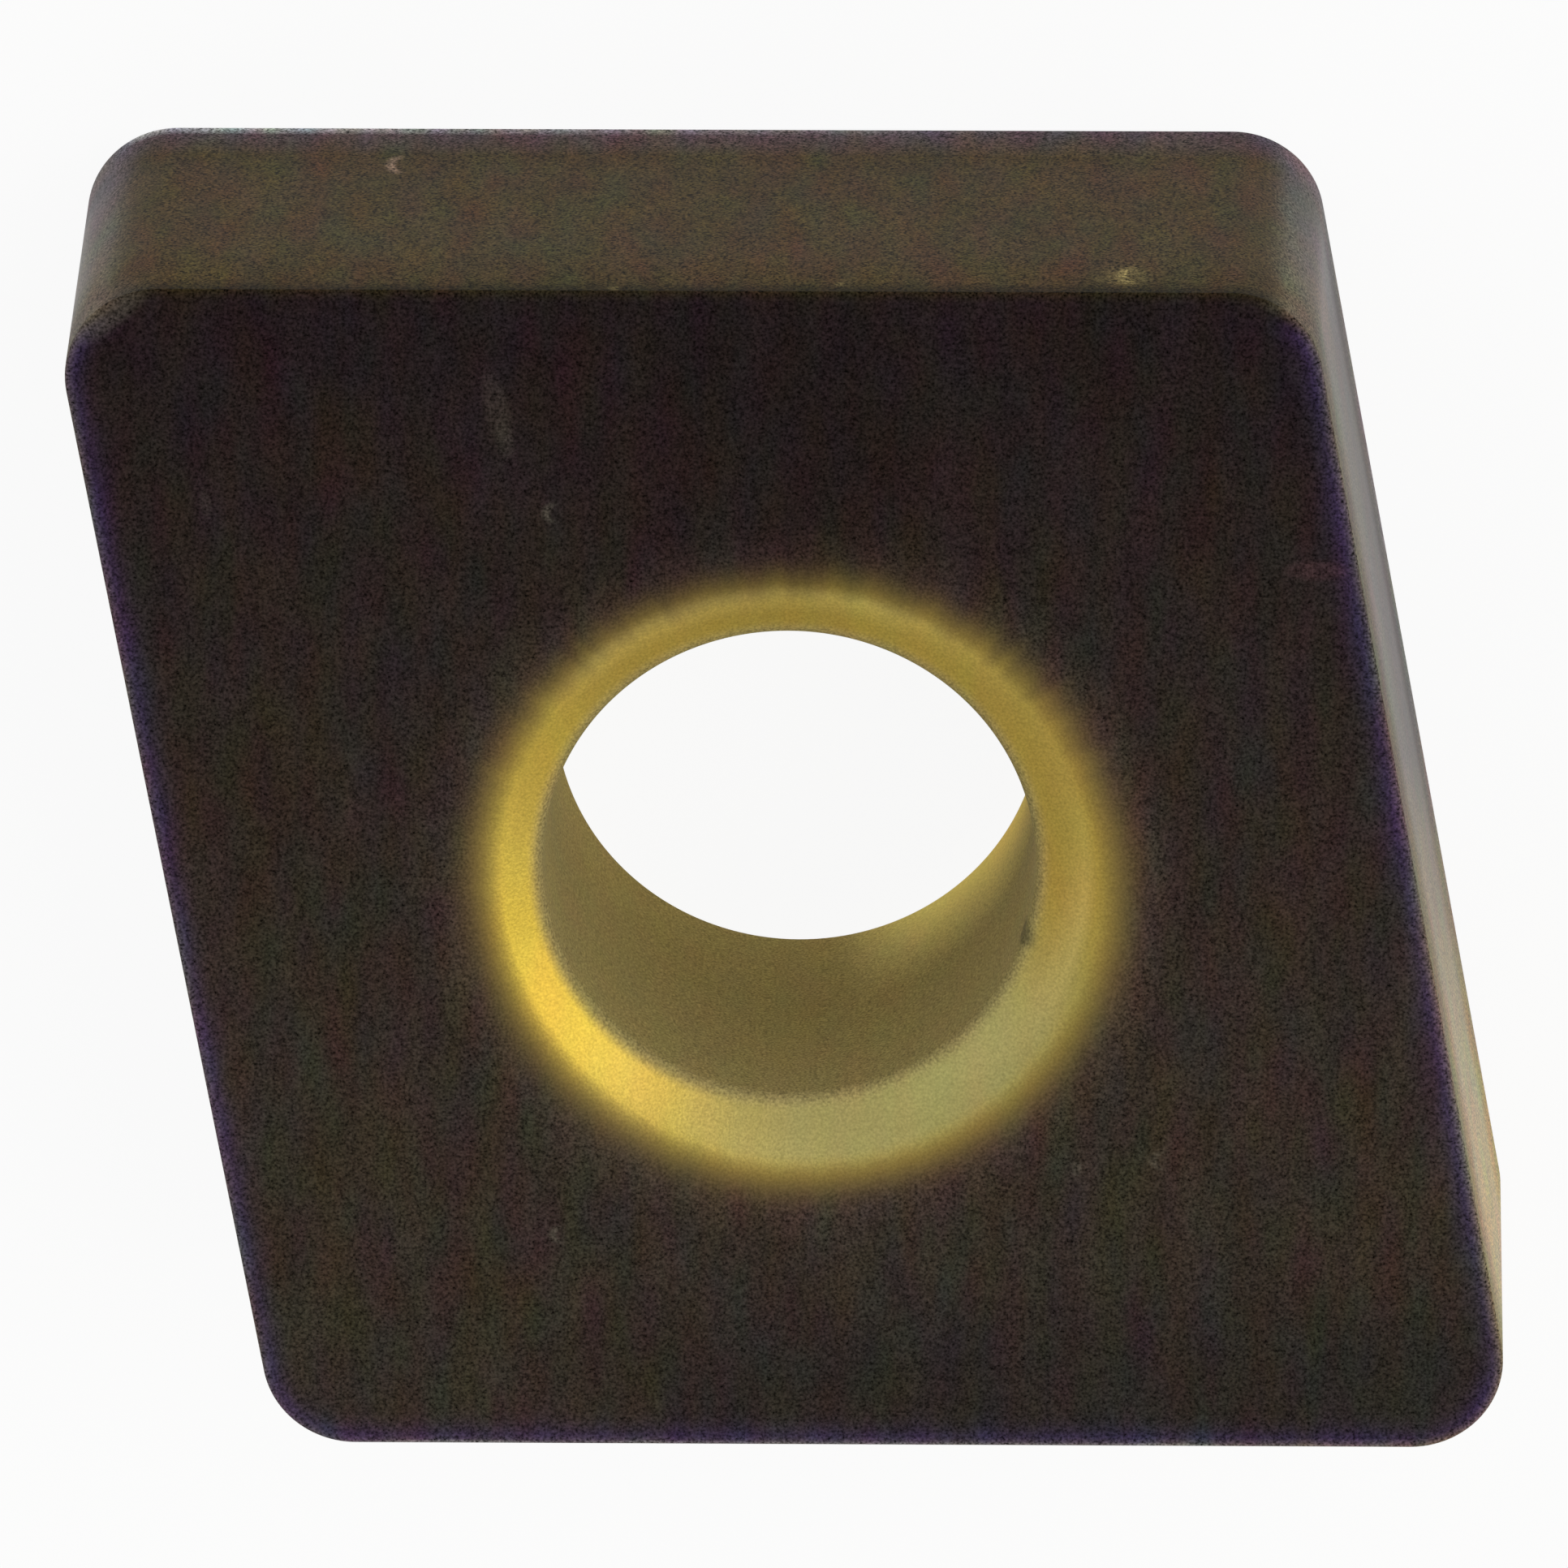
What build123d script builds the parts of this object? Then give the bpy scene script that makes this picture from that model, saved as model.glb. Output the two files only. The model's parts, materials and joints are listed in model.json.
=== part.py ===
"""A rhombic turning insert, pressed and sintered in cemented carbide as one piece.

The insert lies flat: +Z runs along the screw hole, the lower face is at Z = 0, and the origin is where
the hole's axis meets that face. Two of its four cutting edges run along X. It has square flanks and no
chip breaker, so both faces cut and the insert can be turned over.
"""

from build123d import *
import math
import os

# Driving dimensions, in millimetres and degrees
inscribed_circle = 15.875  # diameter of the circle that touches all four flanks
point_angle = 80.0  # angle of the two sharper corners; the other two are its supplement
thickness = 6.35  # from one cutting face to the other
nose_radius = 1.2  # of all four corners, seen along Z
edge_hone = 0.06  # radius rubbed onto every cutting edge after sintering
hole_diameter = 6.35  # straight wall of the screw hole
mouth_width = 0.86  # how far each flared mouth spreads beyond the hole's wall
mouth_depth = 0.34  # how far each mouth's cone runs down into the hole
mouth_blend = 2.4  # radius by which the mouth's cone rolls over into the face
mouth_arris = 0.20  # radius left by the press core where the cone meets the wall

# Largest share of a cone's slant that one blend may use up
blend_share = 0.45


def outline():
    """The insert seen along Z: a rhombus round the inscribed circle, with rounded noses."""
    side = inscribed_circle / math.sin(math.radians(point_angle))
    lean = inscribed_circle / math.tan(math.radians(point_angle))
    half_height = inscribed_circle / 2
    corners = [
        ((side + lean) / 2, -half_height),
        ((side - lean) / 2, half_height),
        (-(side + lean) / 2, half_height),
        (-(side - lean) / 2, -half_height),
    ]
    with BuildSketch() as sketch:
        Polygon(*corners, align=None)
        fillet(sketch.vertices(), nose_radius)
    return sketch.sketch


def blank():
    """The pressed blank: the outline carried straight up, so that all its flanks are square."""
    return extrude(outline(), thickness)


def screw_hole():
    """The room that the screw hole takes: a straight wall that opens out in a cone at each face.

    Each cone is drawn on past its face, to clear the blank, at its own slope.
    """
    wall = hole_diameter / 2
    clear_width = 2 * mouth_width
    clear_depth = mouth_depth * clear_width / mouth_width
    lower_cone_end = mouth_depth
    upper_cone_end = thickness - mouth_depth
    with BuildSketch(Plane.XZ) as section:
        with BuildLine():
            Polyline(
                (0, lower_cone_end - clear_depth),
                (wall + clear_width, lower_cone_end - clear_depth),
                (wall, lower_cone_end),
                (wall, upper_cone_end),
                (wall + clear_width, upper_cone_end + clear_depth),
                (0, upper_cone_end + clear_depth),
                close=True,
            )
        make_face()
    return revolve(section.sketch, Axis.Z)


def circles_at(part, radius):
    """Every circular edge of that radius about the hole's axis."""
    near = 1e-4
    round_edges = part.edges().filter_by(GeomType.CIRCLE)
    return [
        edge
        for edge in round_edges
        if abs(edge.radius - radius) < near and Vector(edge.arc_center.X, edge.arc_center.Y).length < near
    ]


def soften_mouths(part):
    """Rolls each cone over into its face, and takes the arris off where the cone meets the wall."""
    slant = math.hypot(mouth_width, mouth_depth)
    half_turn_at_face = math.atan2(mouth_depth, mouth_width) / 2
    half_turn_at_wall = math.atan2(mouth_width, mouth_depth) / 2
    largest_blend = blend_share * slant / math.tan(half_turn_at_face)
    largest_arris = blend_share * slant / math.tan(half_turn_at_wall)
    wall = hole_diameter / 2
    part = fillet(circles_at(part, wall + mouth_width), min(mouth_blend, largest_blend))
    return fillet(circles_at(part, wall), min(mouth_arris, largest_arris))


def hone_edges(part):
    """Rubs the hone round both faces: along the four straight edges and round the four noses."""
    faces = part.faces().filter_by(Plane.XY)
    rims = [face.outer_wire().edges() for face in faces]
    return fillet([edge for rim in rims for edge in rim], edge_hone)


def insert():
    """The finished insert: the blank with its screw hole, softened mouths and honed edges."""
    return hone_edges(soften_mouths(blank() - screw_hole()))


os.makedirs("parts", exist_ok=True)
export_step(insert(), "parts/carbide_insert.step")
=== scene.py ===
import json
import math

import bpy
import numpy as np
from mathutils import Matrix, Vector


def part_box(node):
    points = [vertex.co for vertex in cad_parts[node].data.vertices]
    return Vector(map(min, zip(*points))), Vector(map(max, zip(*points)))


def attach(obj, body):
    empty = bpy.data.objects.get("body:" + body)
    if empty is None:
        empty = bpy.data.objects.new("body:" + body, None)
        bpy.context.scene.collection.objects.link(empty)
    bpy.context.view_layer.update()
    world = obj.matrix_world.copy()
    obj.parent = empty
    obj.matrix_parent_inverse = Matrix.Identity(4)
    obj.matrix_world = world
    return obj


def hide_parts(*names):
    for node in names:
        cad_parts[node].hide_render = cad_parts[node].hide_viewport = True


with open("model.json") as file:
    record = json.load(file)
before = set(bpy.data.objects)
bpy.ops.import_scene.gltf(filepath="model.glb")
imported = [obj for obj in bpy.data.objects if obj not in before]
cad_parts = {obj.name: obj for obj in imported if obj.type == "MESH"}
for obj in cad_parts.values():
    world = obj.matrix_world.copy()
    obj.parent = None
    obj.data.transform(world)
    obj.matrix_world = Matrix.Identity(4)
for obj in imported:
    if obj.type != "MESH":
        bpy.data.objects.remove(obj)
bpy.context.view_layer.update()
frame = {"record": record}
MM = 0.001

# ---------------------------------------------------------------- the insert's form
# One piece of cemented carbide, pressed round a core pin, sintered and ground flat on both faces.
# Its hole flares out at each face, and all its cutting edges were brushed to a fine round hone.
# It is one closed sheet of squares: round the outline one way, and round the wall's section the other.

lowest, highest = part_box("carbide_insert")
screw_hole = next(m for m in frame["record"]["mounts"] if m["name"] == "screw_hole")
thickness = highest.z - lowest.z
inscribed_radius = (highest.y - lowest.y) / 2
hole_radius = screw_hole["dims"]["r_mm"] * MM
point_angle = 80.0
nose_radius = 1.2 * MM
hone_radius = 0.06 * MM
mouth_width = 0.86 * MM
mouth_depth = 0.34 * MM
mouth_blend = 2.4 * MM
mouth_arris = 0.20 * MM
edge_strip = 0.7 * MM  # breadth of the strip inside each cutting edge that follows the edge

# Steps of the sheet: round the outline, then up the hole from halfway, and then outwards and down again
nose_steps, side_steps = 26, 72
wall_steps, arris_steps, cone_steps, blend_steps = 12, 8, 8, 15
face_steps, strip_steps, hone_steps, flank_steps = 17, 8, 7, 13


def rounded_rhombus():
    """The outline once round, anticlockwise, as complex points and complex outward normals.

    A nose is its centre plus the nose radius along a normal that turns evenly from one side's to the
    next; the centre lies on the bisector, where a smaller rhombus has its corner. A side is the straight
    run between two noses, in steps that shrink towards both ends as a cosine does.
    """
    turns = np.radians([90 - point_angle, 90, 270 - point_angle, 270, 450 - point_angle])
    before, after = turns[:-1, None], turns[1:, None]
    half = (after - before) / 2
    centres = (inscribed_radius - nose_radius) / np.cos(half) * np.exp(1j * (before + half))
    nose_normals = np.exp(1j * (before + 2 * half * np.linspace(0, 1, nose_steps, endpoint=False)))
    side_normal = np.exp(1j * after)
    along = (1 - np.cos(np.pi * np.linspace(0, 1, side_steps, endpoint=False))) / 2
    noses = centres + nose_radius * nose_normals
    sides = centres + nose_radius * side_normal + (np.roll(centres, -1) - centres) * along
    points = np.concatenate([noses, sides], axis=1)
    normals = np.concatenate([nose_normals, side_normal + 0 * along], axis=1)
    return points.ravel(), normals.ravel()


def rounded_corner(at, arriving, leaving, radius, steps):
    """The arc that rounds a corner of a section, as complex points.

    It starts on the arriving line, the radius times the tangent of half the turn before the corner,
    and its points turn evenly about its centre until they lie on the leaving line.
    """
    turn = np.angle(leaving / arriving)
    start = at - arriving * radius * np.tan(abs(turn) / 2)
    to_centre = 1j * np.sign(turn) * arriving * radius
    return start + to_centre - to_centre * np.exp(1j * turn * np.linspace(0, 1, steps + 1))


def mouth_section():
    """From halfway up the hole's wall to the face: distance from the axis and height, as complex points.

    It is a straight run up the wall, the arris's arc, a straight run up the cone and the blend's arc.
    """
    slant = mouth_width + 1j * mouth_depth
    up, along_cone, outwards = 1j, slant / abs(slant), 1
    foot = hole_radius + 1j * (thickness - mouth_depth)
    rim = hole_radius + mouth_width + 1j * thickness
    arris = rounded_corner(foot, up, along_cone, mouth_arris, arris_steps)
    blend = rounded_corner(rim, along_cone, outwards, mouth_blend, blend_steps)
    wall = hole_radius + 1j * np.linspace(thickness / 2, arris[0].imag, wall_steps, endpoint=False)
    cone = arris[-1] + (blend[0] - arris[-1]) * np.linspace(0, 1, cone_steps + 1)[1:-1]
    return np.concatenate([wall, arris, cone, blend])


def insert_surface():
    """The insert's points: a row for each step round the outline, a column for each along the section.

    Round the hole a point is the section turned about the axis. Across the face it goes straight from the
    mouth's rim to the edge strip. In the strip and on the hone it is the outline moved inwards along its
    normal, and on the flank it is the outline itself. The lower half repeats the upper one upside down.
    Also returns each column's way past the cutting edge: above zero inwards, below zero down the flank.
    """
    outline, normal = rounded_rhombus()
    mouth = mouth_section()
    outwards = outline / abs(outline)
    round_hole = outwards[:, None] * mouth.real
    across = (1 - np.cos(np.pi * np.linspace(0, 1, face_steps + 1)))[1:-1] / 2
    strip_start = outline - normal * edge_strip
    face = round_hole[:, -1:] + (strip_start[:, None] - round_hole[:, -1:]) * across
    hone_turn = np.linspace(0, np.pi / 2, hone_steps + 1)
    strip_inset = edge_strip + (hone_radius - edge_strip) * np.linspace(0, 1, strip_steps + 1)[:-1] ** 0.5
    hone_inset = hone_radius * (1 - np.sin(hone_turn))
    hone_drop = hone_radius * (1 - np.cos(hone_turn))
    flank_drop = hone_radius + (thickness / 2 - hone_radius) * np.linspace(0, 1, flank_steps + 1)[1:] ** 2
    inset = np.concatenate([strip_inset, hone_inset, 0 * flank_drop])
    drop = np.concatenate([0 * strip_inset, hone_drop, flank_drop])
    rim = outline[:, None] - normal[:, None] * inset
    plan = np.concatenate([round_hole, face, rim], axis=1)
    height = np.concatenate([mouth.imag, thickness + 0 * across, thickness - drop])
    inside = 2 * edge_strip  # the hole's columns count as this far in
    past_edge = np.concatenate([inside + 0 * mouth.real, inside - across * edge_strip, inset - drop])
    plan = np.concatenate([plan, plan[:, -2:0:-1]], axis=1)
    height = np.concatenate([height, thickness - height[-2:0:-1]])
    past_edge = np.concatenate([past_edge, past_edge[-2:0:-1]])
    points = np.stack([plan.real, plan.imag, height + 0 * plan.real], axis=2)
    return points, past_edge


points, past_edge = insert_surface()
rounds, columns = points.shape[:2]
corner = np.arange(rounds * columns).reshape(rounds, columns)
beside = np.roll(corner, -1, axis=1)
squares = np.stack([corner, beside, np.roll(beside, -1, axis=0), np.roll(corner, -1, axis=0)], axis=2)
mesh = bpy.data.meshes.new("coated_insert")
mesh.from_pydata(points.reshape(-1, 3), [], squares.reshape(-1, 4).tolist())
mesh.shade_smooth()
distance = mesh.attributes.new("past_edge", "FLOAT", "POINT")
distance.data.foreach_set("value", np.tile(past_edge, rounds).astype(np.float32))
insert = bpy.data.objects.new("coated_insert", mesh)
bpy.context.scene.collection.objects.link(insert)
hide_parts("carbide_insert")
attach(insert, "root")

# ---------------------------------------------------------------- the insert's coat
# Black alumina over golden titanium nitride, grown from vapour and left as it grew: hard, matt and fine
# grained. It is brown-black on the faces and olive on the flanks, thins to bare gold in the hole's
# mouths, and shows a violet tint where it bends over the cutting edges.


def linear(hex_colour):
    """An sRGB hex colour as the linear red, green, blue and alpha that a shader takes."""
    srgb = np.array([int(hex_colour[i:i + 2], 16) for i in (1, 3, 5)]) / 255
    light = np.where(srgb <= 0.04045, srgb / 12.92, ((srgb + 0.055) / 1.055) ** 2.4)
    return (*light.tolist(), 1.0)


def add(tree, kind, inputs, **settings):
    """Adds a node with its settings to a tree. Each numbered or named input gets a value or a link."""
    node = tree.nodes.new(kind)
    for name, value in settings.items():
        setattr(node, name, value)
    for key, value in inputs.items():
        if isinstance(value, bpy.types.NodeSocket):
            tree.links.new(value, node.inputs[key])
        else:
            node.inputs[key].default_value = value
    return node


# Here the rear is +Y and the front is -Y. The flank at the rear has tints of its own, and the noses and
# the other three flanks are the sides.
face_rear_colour = linear("#261d1f")
# the face's brown under a painted sheen, lightest towards the front
face_front_sheen_colour = linear("#3a322b")
front_edge_colour = linear("#322c29")  # on the face, along its front edge
violet_colour = linear("#47386a")
rear_colour = linear("#4f4027")
# the rear flank's painted shade
rear_top_shade_colour = linear("#2a2216")  # right under the cutting edge
rear_foot_colour = linear("#665560")
# a painted highlight along the rear flank's lower edge
rear_rim_highlight_colour = linear("#cdd0cc")  # along the lower edge
side_colour = linear("#6a5f4e")
side_low_colour = linear("#625757")  # on the lower part
side_front_low_colour = linear("#463731")  # and on the lower part in front of the rear noses
# painted light from the floor, at the foot of the sides
side_foot_light_colour = linear("#7c7070")
# a painted warm reflection on the sides towards the +X, -Y nose
warm_reflection_colour = linear("#bda56a")
halo_colour = linear("#55443b")
gold_colour = linear("#c5aa50")
# painted highlights and a painted cool reflection on the gold ring
lift_highlight_colour = linear("#dac167")
pale_reflection_colour = linear("#bbb06e")
rich_highlight_colour = linear("#c4a844")
bright_highlight_colour = linear("#d4b852")
wall_colour = linear("#ae9f6a")
glancing_gold_colour = linear("#ffe6a6")  # titanium nitride stays yellow even at a glancing angle
pale_scuff_colour = linear("#858070")
pink_scuff_colour = linear("#c4a48e")
yellow_scuff_colour = linear("#cdb878")
red_scuff_colour = linear("#86585f")
slate_colour = linear("#2b3036")
dark_scuff_colour = linear("#0e0a0a")
# a painted highlight on the front cutting edge's hone
front_hone_highlight_colour = linear("#b8b8b4")

# A Map Range node's inputs 0 to 4 are its value, where that starts and ends, and the result at each.
# With its smooth setting the result leaves and arrives gently.
SMOOTH = {"interpolation_type": "SMOOTHSTEP"}
MIX_SHARE, MIX_UNDER, MIX_OVER, MIX_RESULT = 0, 6, 7, 2  # the colour sockets of a Mix node
NOISE_MIDDLE = 0.5

grain_size = 0.033 * MM  # the real crystals are some 0.002 mm, too fine to show, so it is drawn coarser
tint_size = (0.4 * MM, 1.2 * MM, 1.2 * MM)  # drawn out along the way that the faces were ground

coat = bpy.data.materials.new("alumina_over_titanium_nitride")
coat.use_nodes = True
tree = coat.node_tree
tree.nodes.clear()
place = add(tree, "ShaderNodeTexCoord", {}).outputs["Object"]
x, y, z = add(tree, "ShaderNodeSeparateXYZ", {0: place}).outputs
edge = add(tree, "ShaderNodeAttribute", {}, attribute_name="past_edge").outputs["Fac"]
grain = add(tree, "ShaderNodeTexNoise", {
    "Vector": place, "Scale": 1 / grain_size, "Detail": 1.0}).outputs["Fac"]
tint_place = add(tree, "ShaderNodeMapping", {
    "Vector": place, "Scale": tint_size}, vector_type="TEXTURE").outputs[0]
tints = add(tree, "ShaderNodeTexNoise", {
    "Vector": tint_place, "Scale": 1.0, "Detail": 1.0}).outputs["Color"]

# The gold ends in a finely toothed circle, a little narrower along one line across it. It falls away as a
# power of how far a point lies inside that circle, and a brown halo fades out round it.
gold_offset = (0.14 * MM, -0.15 * MM, 0)  # the jig that masked the hole sat a little off centre
gold_full_radius, gold_end_radius = 3.86 * MM, 4.68 * MM
gold_fall = 2.9
tooth_width = 0.3 * MM
front_tooth_depth, rear_tooth_depth = 0.05 * MM, 0.22 * MM
front_tooth_y, rear_tooth_y = 0.0, 3.0 * MM
narrow_way = (-0.82, -0.57, 0)
narrow_start, narrowing = 0.7, 0.06 * MM  # the cosine beside that way where it starts, and its depth
halo_start_radius, halo_end_radius = gold_full_radius + 0.2 * MM, 5.1 * MM
front_halo, rear_halo = 0.7, 0.4
front_halo_y, rear_halo_y = 2.0 * MM, 4.0 * MM

flat = add(tree, "ShaderNodeVectorMath", {0: place, 1: (1, 1, 0)}, operation="MULTIPLY").outputs[0]
axis_radius = add(tree, "ShaderNodeVectorMath", {0: flat}, operation="LENGTH").outputs["Value"]
off_centre = add(tree, "ShaderNodeVectorMath", {0: flat, 1: gold_offset}, operation="SUBTRACT").outputs[0]
even_radius = add(tree, "ShaderNodeVectorMath", {0: off_centre}, operation="LENGTH").outputs["Value"]
way = add(tree, "ShaderNodeVectorMath", {0: off_centre}, operation="NORMALIZE").outputs[0]
teeth = add(tree, "ShaderNodeTexNoise", {
    "Vector": way, "Scale": gold_end_radius / tooth_width, "Detail": 1.0}).outputs["Fac"]
tooth_depth = add(tree, "ShaderNodeMapRange", {
    0: y, 1: front_tooth_y, 2: rear_tooth_y,
    3: front_tooth_depth, 4: rear_tooth_depth}, **SMOOTH).outputs[0]
tooth = add(tree, "ShaderNodeMath", {0: teeth, 1: NOISE_MIDDLE}, operation="SUBTRACT").outputs[0]
to_narrow = add(tree, "ShaderNodeVectorMath", {
    0: way, 1: narrow_way}, operation="DOT_PRODUCT").outputs["Value"]
along_narrow = add(tree, "ShaderNodeMath", {0: to_narrow}, operation="ABSOLUTE").outputs[0]
narrowed_by = add(tree, "ShaderNodeMapRange", {
    0: along_narrow, 1: narrow_start, 2: 1.0, 3: 0.0, 4: narrowing}).outputs[0]
narrowed_radius = add(tree, "ShaderNodeMath", {
    0: even_radius, 1: narrowed_by}, operation="ADD").outputs[0]
coat_radius = add(tree, "ShaderNodeMath", {
    0: tooth, 1: tooth_depth, 2: narrowed_radius}, operation="MULTIPLY_ADD").outputs[0]
gold_depth = add(tree, "ShaderNodeMapRange", {
    0: coat_radius, 1: gold_full_radius, 2: gold_end_radius, 3: 1.0, 4: 0.0}).outputs[0]
gold = add(tree, "ShaderNodeMath", {0: gold_depth, 1: gold_fall}, operation="POWER").outputs[0]
halo_share = add(tree, "ShaderNodeMapRange", {
    0: y, 1: front_halo_y, 2: rear_halo_y, 3: front_halo, 4: rear_halo}).outputs[0]
halo = add(tree, "ShaderNodeMapRange", {
    0: coat_radius, 1: halo_start_radius, 2: halo_end_radius, 3: halo_share, 4: 0.0}, **SMOOTH).outputs[0]

# Painted highlights and a painted cool reflection change the gold round the ring. Each has a way, in plan
# from the ring's middle, and starts and is full at a cosine beside it. The lifted one is a painted
# highlight in a band round the cone, faint on the side away from narrow_way and absent towards it.
pale_way, pale_start, pale_full = (0.42, -0.91, 0), 0.45, 1.0
pale_full_radius, pale_end_radius = 3.72 * MM, 4.12 * MM
rich_way, rich_start, rich_full = (-0.98, -0.21, 0), 0.75, 0.97
bright_way, bright_start, bright_full = (-0.94, 0.34, 0), 0.86, 1.0
lift_least = 0.2
lift_least_at, lift_full_from, lift_full_to, lift_end = -1.0, -0.75, 0.45, 0.8
lift_start_radius, lift_full_radius = 3.5 * MM, 3.8 * MM
lift_fade_radius, lift_end_radius = 3.84 * MM, 3.98 * MM

to_pale = add(tree, "ShaderNodeVectorMath", {
    0: way, 1: pale_way}, operation="DOT_PRODUCT").outputs["Value"]
to_rich = add(tree, "ShaderNodeVectorMath", {
    0: way, 1: rich_way}, operation="DOT_PRODUCT").outputs["Value"]
pale_inside = add(tree, "ShaderNodeMapRange", {
    0: coat_radius, 1: pale_full_radius, 2: pale_end_radius, 3: 1.0, 4: 0.0}, **SMOOTH).outputs[0]
pale_reflection = add(tree, "ShaderNodeMapRange", {
    0: to_pale, 1: pale_start, 2: pale_full, 3: 0.0, 4: pale_inside}, **SMOOTH).outputs[0]
rich_highlight = add(tree, "ShaderNodeMapRange", {
    0: to_rich, 1: rich_start, 2: rich_full, 3: 0.0, 4: 1.0}, **SMOOTH).outputs[0]
to_bright = add(tree, "ShaderNodeVectorMath", {
    0: way, 1: bright_way}, operation="DOT_PRODUCT").outputs["Value"]
bright_highlight = add(tree, "ShaderNodeMapRange", {
    0: to_bright, 1: bright_start, 2: bright_full, 3: 0.0, 4: 1.0}, **SMOOTH).outputs[0]
lift_round = add(tree, "ShaderNodeMapRange", {
    0: to_narrow, 1: lift_least_at, 2: lift_full_from, 3: lift_least, 4: 1.0}).outputs[0]
lift_here = add(tree, "ShaderNodeMapRange", {
    0: to_narrow, 1: lift_full_to, 2: lift_end, 3: lift_round, 4: 0.0}).outputs[0]
lift_outside = add(tree, "ShaderNodeMapRange", {
    0: axis_radius, 1: lift_start_radius, 2: lift_full_radius, 3: 0.0, 4: lift_here}).outputs[0]
lift_highlight = add(tree, "ShaderNodeMapRange", {
    0: axis_radius, 1: lift_fade_radius, 2: lift_end_radius, 3: lift_outside, 4: 0.0}).outputs[0]

# The wall's coat is mostly oxide. Low down on one side a band shows the gold instead: painted light, for
# the glow the wall catches through the hole.
wall_full_radius, wall_end_radius = hole_radius + 0.004 * MM, hole_radius + 0.23 * MM
glow_band_way, glow_band_start = (0.73, -0.68, 0), 0.75
glow_band_start_z, glow_band_full_z = 3.0 * MM, 0.6 * MM
glow_band_least, glow_band_most = 0.12, 0.9

flat_way = add(tree, "ShaderNodeVectorMath", {0: flat}, operation="NORMALIZE").outputs[0]
to_glow_band = add(tree, "ShaderNodeVectorMath", {
    0: flat_way, 1: glow_band_way}, operation="DOT_PRODUCT").outputs["Value"]
glow_band_low = add(tree, "ShaderNodeMapRange", {
    0: z, 1: glow_band_start_z, 2: glow_band_full_z, 3: 0.0, 4: 1.0}).outputs[0]
glow_band_side = add(tree, "ShaderNodeMapRange", {
    0: to_glow_band, 1: glow_band_start, 2: 1.0, 3: glow_band_least, 4: glow_band_most}, **SMOOTH).outputs[0]
wall_glow_band = add(tree, "ShaderNodeMath", {0: glow_band_low, 1: glow_band_side}, operation="MULTIPLY").outputs[0]
oxide = add(tree, "ShaderNodeMath", {0: 1.0, 1: wall_glow_band}, operation="SUBTRACT").outputs[0]
wall = add(tree, "ShaderNodeMapRange", {
    0: axis_radius, 1: wall_full_radius, 2: wall_end_radius, 3: oxide, 4: 0.0}, **SMOOTH).outputs[0]

# A painted sheen, standing for a soft lamp's haze on the face, makes it lighter and browner from the rear
# edge forwards; it is a little darker again along its front edge, save at the -X end. The violet follows
# the cutting edges, and leaves the rear one out.
face_sheen_full_y = -2.8 * MM
front_edge_start_y, front_edge_full_y = -5.2 * MM, -6.9 * MM
front_edge_start_x, front_edge_full_x = -4.0 * MM, -0.5 * MM
violet_most, violet_reach, violet_fall = 0.95, 0.7 * MM, 4.0
violet_full_inset, violet_end_inset = 0.7 * MM, 0.25 * MM
flank_start, flank_full = 0.16 * MM, -0.12 * MM  # past the cutting edge

face_front_sheen = add(tree, "ShaderNodeMapRange", {
    0: y, 1: inscribed_radius, 2: face_sheen_full_y, 3: 0.0, 4: 1.0}).outputs[0]
front_edge_side = add(tree, "ShaderNodeMapRange", {
    0: x, 1: front_edge_start_x, 2: front_edge_full_x, 3: 0.0, 4: 1.0}, **SMOOTH).outputs[0]
front_edge = add(tree, "ShaderNodeMapRange", {
    0: y, 1: front_edge_start_y, 2: front_edge_full_y, 3: 0.0, 4: front_edge_side}, **SMOOTH).outputs[0]
edge_nearness = add(tree, "ShaderNodeMapRange", {
    0: edge, 1: 0.0, 2: violet_reach, 3: violet_most, 4: 0.0}).outputs[0]
violet_near = add(tree, "ShaderNodeMath", {
    0: edge_nearness, 1: violet_fall}, operation="POWER").outputs[0]
violet_where = add(tree, "ShaderNodeMapRange", {
    0: y, 1: inscribed_radius - violet_full_inset, 2: inscribed_radius - violet_end_inset,
    3: 1.0, 4: 0.0}, **SMOOTH).outputs[0]
violet = add(tree, "ShaderNodeMath", {
    0: violet_near, 1: violet_where}, operation="MULTIPLY").outputs[0]
flank = add(tree, "ShaderNodeMapRange", {
    0: edge, 1: flank_start, 2: flank_full, 3: 0.0, 4: 1.0}, **SMOOTH).outputs[0]

# The rear flank has painted shade right under its cutting edge and is greyer at its foot, and a painted
# highlight lies along its lower edge, most so at the -X end. The sides darken downwards, and painted
# light from the floor pales them again at the foot. Towards the +X, -Y nose a painted warm reflection
# turns them beige, fainter but further back towards the top.
rear_start_inset, rear_full_inset = 0.30 * MM, 0.06 * MM
foot_full_z, foot_end_z, rear_foot_most = 0.1 * MM, 1.1 * MM, 0.8
rear_shade_start, rear_shade_full, rear_shade_most = 0.5 * MM, 0.05 * MM, 0.8  # down from the cutting edge
side_low_full_z, side_low_end_z = 1.0 * MM, 5.5 * MM
side_front_start_y, side_front_full_y = 7.2 * MM, 5.6 * MM
rim_full_x, rim_end_x = -7.5 * MM, 3.0 * MM
rim_full_z, rim_end_z = 0.04 * MM, 0.30 * MM
reflection_lean, reflection_start, reflection_full = -0.35, -0.6 * MM, -6.4 * MM
reflection_start_x, reflection_full_x = 1.0 * MM, 8.0 * MM
reflection_full_z, reflection_at_top = 4.4 * MM, 0.3

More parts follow.
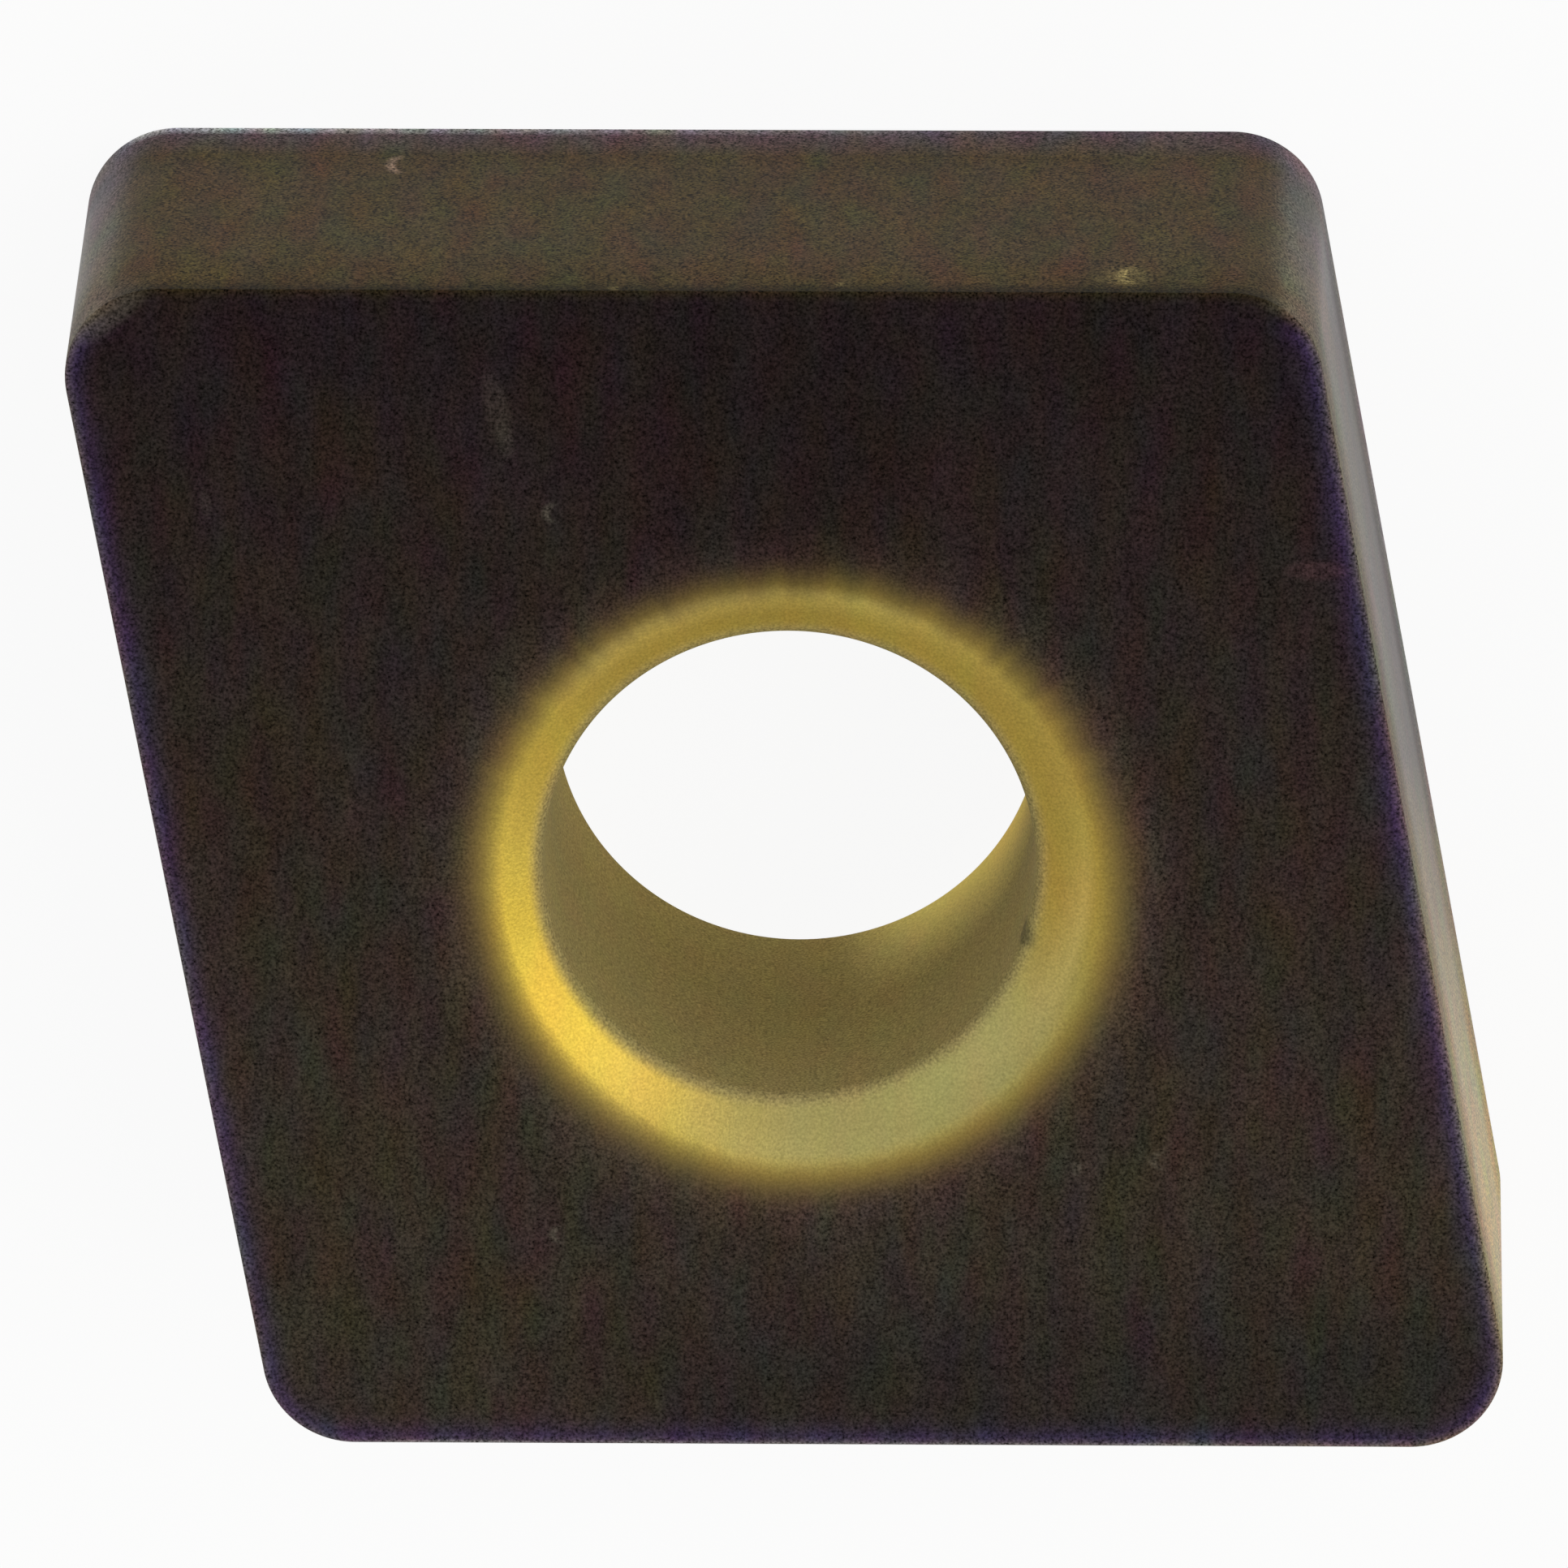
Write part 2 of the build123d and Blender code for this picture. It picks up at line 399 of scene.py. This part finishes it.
rear = add(tree, "ShaderNodeMapRange", {
    0: y, 1: inscribed_radius - rear_start_inset, 2: inscribed_radius - rear_full_inset,
    3: 0.0, 4: 1.0}, **SMOOTH).outputs[0]
rear_foot = add(tree, "ShaderNodeMapRange", {
    0: z, 1: foot_full_z, 2: foot_end_z, 3: rear_foot_most, 4: 0.0}).outputs[0]
rear_top_shade = add(tree, "ShaderNodeMapRange", {
    0: z, 1: thickness - rear_shade_start, 2: thickness - rear_shade_full,
    3: 0.0, 4: rear_shade_most}, **SMOOTH).outputs[0]
side_low = add(tree, "ShaderNodeMapRange", {
    0: z, 1: side_low_full_z, 2: side_low_end_z, 3: 1.0, 4: 0.0}, **SMOOTH).outputs[0]
side_front_low = add(tree, "ShaderNodeMapRange", {
    0: y, 1: side_front_start_y, 2: side_front_full_y, 3: 0.0, 4: side_low}, **SMOOTH).outputs[0]
rim_side = add(tree, "ShaderNodeMapRange", {
    0: x, 1: rim_full_x, 2: rim_end_x, 3: 1.0, 4: 0.0}).outputs[0]
rear_rim_highlight = add(tree, "ShaderNodeMapRange", {
    0: z, 1: rim_full_z, 2: rim_end_z, 3: rim_side, 4: 0.0}).outputs[0]
side_foot_light = add(tree, "ShaderNodeMapRange", {
    0: z, 1: foot_full_z, 2: foot_end_z, 3: 1.0, 4: 0.0}).outputs[0]
reflection_y = add(tree, "ShaderNodeMath", {0: z, 1: reflection_lean, 2: y}, operation="MULTIPLY_ADD").outputs[0]
reflection_front = add(tree, "ShaderNodeMapRange", {
    0: reflection_y, 1: reflection_start, 2: reflection_full, 3: 0.0, 4: 1.0}).outputs[0]
reflection_side = add(tree, "ShaderNodeMapRange", {
    0: x, 1: reflection_start_x, 2: reflection_full_x, 3: 0.0, 4: reflection_front}, **SMOOTH).outputs[0]
reflection_down = add(tree, "ShaderNodeMapRange", {
    0: z, 1: thickness, 2: reflection_full_z, 3: reflection_at_top, 4: 1.0}).outputs[0]
warm_reflection = add(tree, "ShaderNodeMath", {0: reflection_side, 1: reflection_down}, operation="MULTIPLY").outputs[0]

# Each tint, painted light or painted shade is laid over those before it, by its share.
side_colour_and_light = side_colour
for share, over in ((side_low, side_low_colour), (side_front_low, side_front_low_colour),
                    (side_foot_light, side_foot_light_colour), (warm_reflection, warm_reflection_colour)):
    side_colour_and_light = add(tree, "ShaderNodeMix", {MIX_SHARE: share, MIX_UNDER: side_colour_and_light, MIX_OVER: over},
                    data_type="RGBA").outputs[MIX_RESULT]
rear_colour_and_light = rear_colour
for share, over in ((rear_foot, rear_foot_colour), (rear_rim_highlight, rear_rim_highlight_colour),
                    (rear_top_shade, rear_top_shade_colour)):
    rear_colour_and_light = add(tree, "ShaderNodeMix", {MIX_SHARE: share, MIX_UNDER: rear_colour_and_light, MIX_OVER: over},
                    data_type="RGBA").outputs[MIX_RESULT]
flank_colour_and_light = add(tree, "ShaderNodeMix", {MIX_SHARE: rear, MIX_UNDER: side_colour_and_light, MIX_OVER: rear_colour_and_light},
                 data_type="RGBA").outputs[MIX_RESULT]
gold_with_painted_light = gold_colour
for share, over in ((lift_highlight, lift_highlight_colour), (pale_reflection, pale_reflection_colour), (rich_highlight, rich_highlight_colour),
                    (bright_highlight, bright_highlight_colour)):
    gold_with_painted_light = add(tree, "ShaderNodeMix", {MIX_SHARE: share, MIX_UNDER: gold_with_painted_light, MIX_OVER: over},
                    data_type="RGBA").outputs[MIX_RESULT]
colour = face_rear_colour
for share, over in ((face_front_sheen, face_front_sheen_colour), (front_edge, front_edge_colour),
                    (violet, violet_colour), (flank, flank_colour_and_light),
                    (halo, halo_colour), (gold, gold_with_painted_light), (wall, wall_colour)):
    colour = add(tree, "ShaderNodeMix", {MIX_SHARE: share, MIX_UNDER: colour, MIX_OVER: over},
                 data_type="RGBA").outputs[MIX_RESULT]

# The black's thickness varies a little from patch to patch, and its interference tint with it.
black_until, bare_from = 0.1, 0.6  # of gold_depth
black_tint_depth, bare_tint_depth = 0.7, 0.15

tint_depth = add(tree, "ShaderNodeMapRange", {
    0: gold_depth, 1: black_until, 2: bare_from, 3: black_tint_depth, 4: bare_tint_depth}).outputs[0]
tint_shift = add(tree, "ShaderNodeVectorMath", {
    0: tints, 1: (NOISE_MIDDLE, NOISE_MIDDLE, NOISE_MIDDLE)}, operation="SUBTRACT").outputs[0]
tint_factor = add(tree, "ShaderNodeVectorMath", {
    0: tint_shift, 1: tint_depth, 2: (1, 1, 1)}, operation="MULTIPLY_ADD").outputs[0]
colour = add(tree, "ShaderNodeVectorMath", {0: colour, 1: tint_factor}, operation="MULTIPLY").outputs[0]

# Scuffs, and a painted highlight along the front hone, as they lie on it: a middle in mm, turns in
# degrees, reaches in mm, the bite, a share and a colour. Each is a soft spot or streak, and a curl is one
# with a bite out of its own +X side. The bite's radius is a share of the scuff's reach, and a bite of 0
# is none.
spot_core = 0.4
bite_middle, bite_blur = (0.55, 0, 0), 0.3
scuffs_and_highlights = (
    ((-3.70, 6.31, 6.35), (0, 0, 102), (0.70, 0.22, 1), 0, 0.06, pale_scuff_colour),
    ((-3.60, 5.92, 6.35), (0, 0, 102), (0.34, 0.15, 1), 0, 0.05, pale_scuff_colour),
    ((-7.45, 5.05, 6.35), (0, 0, 96), (0.28, 0.10, 1), 0, 0.05, pale_scuff_colour),
    ((-3.01, 4.93, 6.35), (0, 0, 0), (0.18, 0.17, 1), 0.9, 0.20, pale_scuff_colour),
    ((-3.00, -5.01, 6.35), (0, 0, 0), (0.16, 0.15, 1), 0.9, 0.22, pale_scuff_colour),
    ((4.78, -3.94, 6.35), (0, 0, 0), (0.18, 0.17, 1), 0.9, 0.16, pale_scuff_colour),
    ((3.71, -4.06, 6.35), (0, 0, 80), (0.14, 0.08, 1), 0, 0.12, pale_scuff_colour),
    ((-8.68, 7.62, 6.35), (0, 0, 38), (0.80, 0.28, 1), 0, 0.16, pale_scuff_colour),
    ((6.78, 4.19, 6.35), (0, 0, 0), (0.52, 0.18, 1), 0, 0.09, red_scuff_colour),
    ((-5.13, 7.94, 1.47), (90, 0, 0), (0.20, 0.42, 1), 0.9, 0.45, pink_scuff_colour),
    ((4.38, 7.94, 5.67), (90, 0, 0), (0.23, 0.38, 1), 0.9, 0.55, yellow_scuff_colour),
    ((4.30, 7.94, 5.67), (90, 0, 0), (0.45, 0.50, 1), 0, 0.1, yellow_scuff_colour),
    ((0.68, 7.94, 6.02), (90, 0, 0), (0.10, 0.12, 1), 0, 0.14, yellow_scuff_colour),
    ((-2.21, 7.94, 6.20), (90, 0, 0), (0.10, 0.12, 0.1), 0, 0.14, yellow_scuff_colour),
    ((3.08, -1.00, 5.80), (0, 0, 0), (0.26, 0.24, 0.40), 0, 0.5, slate_colour),
    ((-0.10, 5.60, 6.35), (0, 0, 0), (2.60, 3.00, 1), 0, 0.16, dark_scuff_colour),
    # The last four are a painted highlight along the front cutting edge's hone.
    ((0.80, -7.93, 6.32), (0, 0, 0), (12, 0.07, 0.10), 0, 0.12, front_hone_highlight_colour),
    ((-4.30, -7.93, 6.32), (0, 0, 0), (1.50, 0.07, 0.10), 0, 0.22, front_hone_highlight_colour),
    ((-1.80, -7.93, 6.32), (0, 0, 0), (0.90, 0.07, 0.10), 0, 0.10, front_hone_highlight_colour),
    ((4.90, -7.93, 6.32), (0, 0, 0), (0.80, 0.07, 0.10), 0, 0.14, front_hone_highlight_colour),
)
for middle, turns, reaches, bite, share, over in scuffs_and_highlights:
    local = add(tree, "ShaderNodeMapping", {
        "Vector": place, "Location": [MM * v for v in middle],
        "Rotation": [math.radians(v) for v in turns],
        "Scale": [MM * v for v in reaches]}, vector_type="TEXTURE").outputs[0]
    reach = add(tree, "ShaderNodeVectorMath", {0: local}, operation="LENGTH").outputs["Value"]
    spot = add(tree, "ShaderNodeMapRange", {
        0: reach, 1: spot_core, 2: 1.0, 3: share, 4: 0.0}, **SMOOTH).outputs[0]
    past_bite = add(tree, "ShaderNodeVectorMath", {
        0: local, 1: bite_middle}, operation="DISTANCE").outputs["Value"]
    kept = add(tree, "ShaderNodeMapRange", {
        0: past_bite, 1: bite - bite_blur, 2: bite, 3: 0.0, 4: spot}).outputs[0]
    colour = add(tree, "ShaderNodeMix", {MIX_SHARE: kept, MIX_UNDER: colour, MIX_OVER: over},
                 data_type="RGBA").outputs[MIX_RESULT]

# The grain makes a tint lighter and darker by a share of itself: most on the flanks, least on the gold.
wall_metal = 0.25  # how metallic the gold stays under the wall's oxide
black_grain, bare_grain = 3.0, 0.7
wall_grain, flank_grain = 1.0, 1.3  # these are added to the others

bare = add(tree, "ShaderNodeMapRange", {0: wall, 1: 0.0, 2: 1.0, 3: 1.0, 4: wall_metal}).outputs[0]
metal = add(tree, "ShaderNodeMath", {0: gold, 1: bare}, operation="MULTIPLY").outputs[0]
face_depth = add(tree, "ShaderNodeMapRange", {
    0: gold_depth, 1: black_until, 2: bare_from, 3: black_grain, 4: bare_grain}).outputs[0]
inside_depth = add(tree, "ShaderNodeMath", {
    0: wall, 1: wall_grain, 2: face_depth}, operation="MULTIPLY_ADD").outputs[0]
grain_depth = add(tree, "ShaderNodeMath", {
    0: flank, 1: flank_grain, 2: inside_depth}, operation="MULTIPLY_ADD").outputs[0]
uneven = add(tree, "ShaderNodeMath", {0: grain, 1: NOISE_MIDDLE}, operation="SUBTRACT").outputs[0]
factor = add(tree, "ShaderNodeMath", {
    0: uneven, 1: grain_depth, 2: 1.0}, operation="MULTIPLY_ADD").outputs[0]
grained = add(tree, "ShaderNodeVectorMath", {0: colour, "Scale": factor}, operation="SCALE").outputs[0]

# The crystals scatter light, so little of it comes back as a glint. The flanks grew smoothest, downwards
# from the cutting edge, and the wall roughest.
grain_height, grain_bump = 0.01 * MM, 0.2
face_roughness, flank_roughness = 0.42, 0.28
wall_roughness = 0.25  # added to the face's
flank_smooth_start, flank_smooth_end = -0.1 * MM, -2.0 * MM
glint = 0.0125

bump = add(tree, "ShaderNodeBump", {
    "Strength": grain_bump, "Distance": grain_height, "Height": grain}).outputs[0]
outer_roughness = add(tree, "ShaderNodeMapRange", {
    0: edge, 1: flank_smooth_start, 2: flank_smooth_end,
    3: face_roughness, 4: flank_roughness}, **SMOOTH).outputs[0]
roughness = add(tree, "ShaderNodeMath", {
    0: wall, 1: wall_roughness, 2: outer_roughness}, operation="MULTIPLY_ADD").outputs[0]
shader = add(tree, "ShaderNodeBsdfPrincipled", {
    "Base Color": grained, "Metallic": metal, "Roughness": roughness, "Normal": bump,
    "Specular IOR Level": glint, "Specular Tint": glancing_gold_colour})
add(tree, "ShaderNodeOutputMaterial", {"Surface": shader.outputs[0]})
mesh.materials.append(coat)

# ---------------------------------------------------------------- the floor
# A wide sheet of matt white card, a hair under the insert.

floor_reach = 1.5
floor_gap = 0.01 * MM
card_colour = linear("#f0f0f0")
card_glow = 0.92  # share of the card that shows plain white; the rest keeps the insert's shadow

floor_mesh = bpy.data.meshes.new("floor")
quarters = ((-1, -1), (1, -1), (1, 1), (-1, 1))
floor_corners = [(right * floor_reach, up * floor_reach, -floor_gap) for right, up in quarters]
floor_mesh.from_pydata(floor_corners, [], [(0, 1, 2, 3)])
floor = bpy.data.objects.new("floor", floor_mesh)
bpy.context.scene.collection.objects.link(floor)

card = bpy.data.materials.new("white_card")
card.use_nodes = True
tree = card.node_tree
tree.nodes.clear()
seen = add(tree, "ShaderNodeLightPath", {})
seen_or_mirrored = add(tree, "ShaderNodeMath", {
    0: seen.outputs["Is Camera Ray"], 1: seen.outputs["Is Glossy Ray"]}, operation="MAXIMUM").outputs[0]
shown = add(tree, "ShaderNodeMath", {
    0: seen_or_mirrored, 1: seen.outputs["Is Transmission Ray"]}, operation="MAXIMUM").outputs[0]
glow_share = add(tree, "ShaderNodeMath", {0: shown, 1: card_glow}, operation="MULTIPLY").outputs[0]
matt = add(tree, "ShaderNodeBsdfDiffuse", {"Color": card_colour}).outputs[0]
glow = add(tree, "ShaderNodeEmission", {"Color": (1, 1, 1, 1), "Strength": 1.0}).outputs[0]
mixed = add(tree, "ShaderNodeMixShader", {0: glow_share, 1: matt, 2: glow}).outputs[0]
add(tree, "ShaderNodeOutputMaterial", {"Surface": mixed})
floor_mesh.materials.append(card)

# ---------------------------------------------------------------- lamps and surroundings
# A warm soft lamp high on the right and a weaker, cooler one high on the left, in a pale grey room.

middle = Vector((0, 0, thickness / 2))
room_colour = linear("#f4f4f4")
room_strength = 0.60


def soft_lamp(name, towards, away, breadth, watts, hex_colour):
    """A square lamp that far away from the insert's middle, in that direction, turned to face it."""
    light = bpy.data.lights.new(name, "AREA")
    light.size = breadth
    light.energy = watts
    light.color = linear(hex_colour)[:3]
    lamp = bpy.data.objects.new(name, light)
    bpy.context.scene.collection.objects.link(lamp)
    out = Vector(towards).normalized()
    facing = out.to_track_quat("Z", "Y").to_matrix().to_4x4()
    lamp.matrix_world = Matrix.Translation(middle + out * away) @ facing


soft_lamp("key_lamp", (0.54, 0.07, 0.84), away=0.5, breadth=0.32, watts=0.68, hex_colour="#fffcee")
soft_lamp("fill_lamp", (-0.60, 0.25, 0.75), away=0.5, breadth=0.30, watts=0.13, hex_colour="#f2f4ff")

room = bpy.data.worlds.new("pale_room")
room.use_nodes = True
room.node_tree.nodes["Background"].inputs["Color"].default_value = room_colour
room.node_tree.nodes["Background"].inputs["Strength"].default_value = room_strength
bpy.context.scene.world = room

# ---------------------------------------------------------------- the camera
# It stands far off and high on the +Y side, and looks down steeply, so that +Y points up in its frame.

camera_tilt = math.radians(20.75)  # from straight overhead
camera_bearing = math.radians(86.54)  # of its foot on the floor, from +X towards +Y
camera_roll = math.radians(-0.23)
camera_away = 325.2 * MM
aim = Vector((-0.128 * MM, 0.034 * MM, 3.165 * MM))
lens_reach, frame_width = 575.1, 36.0  # mm
nearest, furthest = 1 * MM, 20.0  # what it can see

sideways = math.sin(camera_tilt)
back = Vector((
    sideways * math.cos(camera_bearing), sideways * math.sin(camera_bearing), math.cos(camera_tilt)))
level_right = Vector((0, 1, 0)).cross(back).normalized()
level_up = back.cross(level_right)
right = level_right * math.cos(camera_roll) + level_up * math.sin(camera_roll)
up = back.cross(right)
camera = bpy.data.objects.new("camera", bpy.data.cameras.new("camera"))
camera.data.sensor_width = frame_width
camera.data.lens = lens_reach
camera.data.clip_start = nearest
camera.data.clip_end = furthest
bpy.context.scene.collection.objects.link(camera)
facing = Matrix((right, up, back)).transposed().to_4x4()
camera.matrix_world = Matrix.Translation(aim + back * camera_away) @ facing
bpy.context.scene.camera = camera
bpy.context.scene.view_settings.view_transform = "Standard"
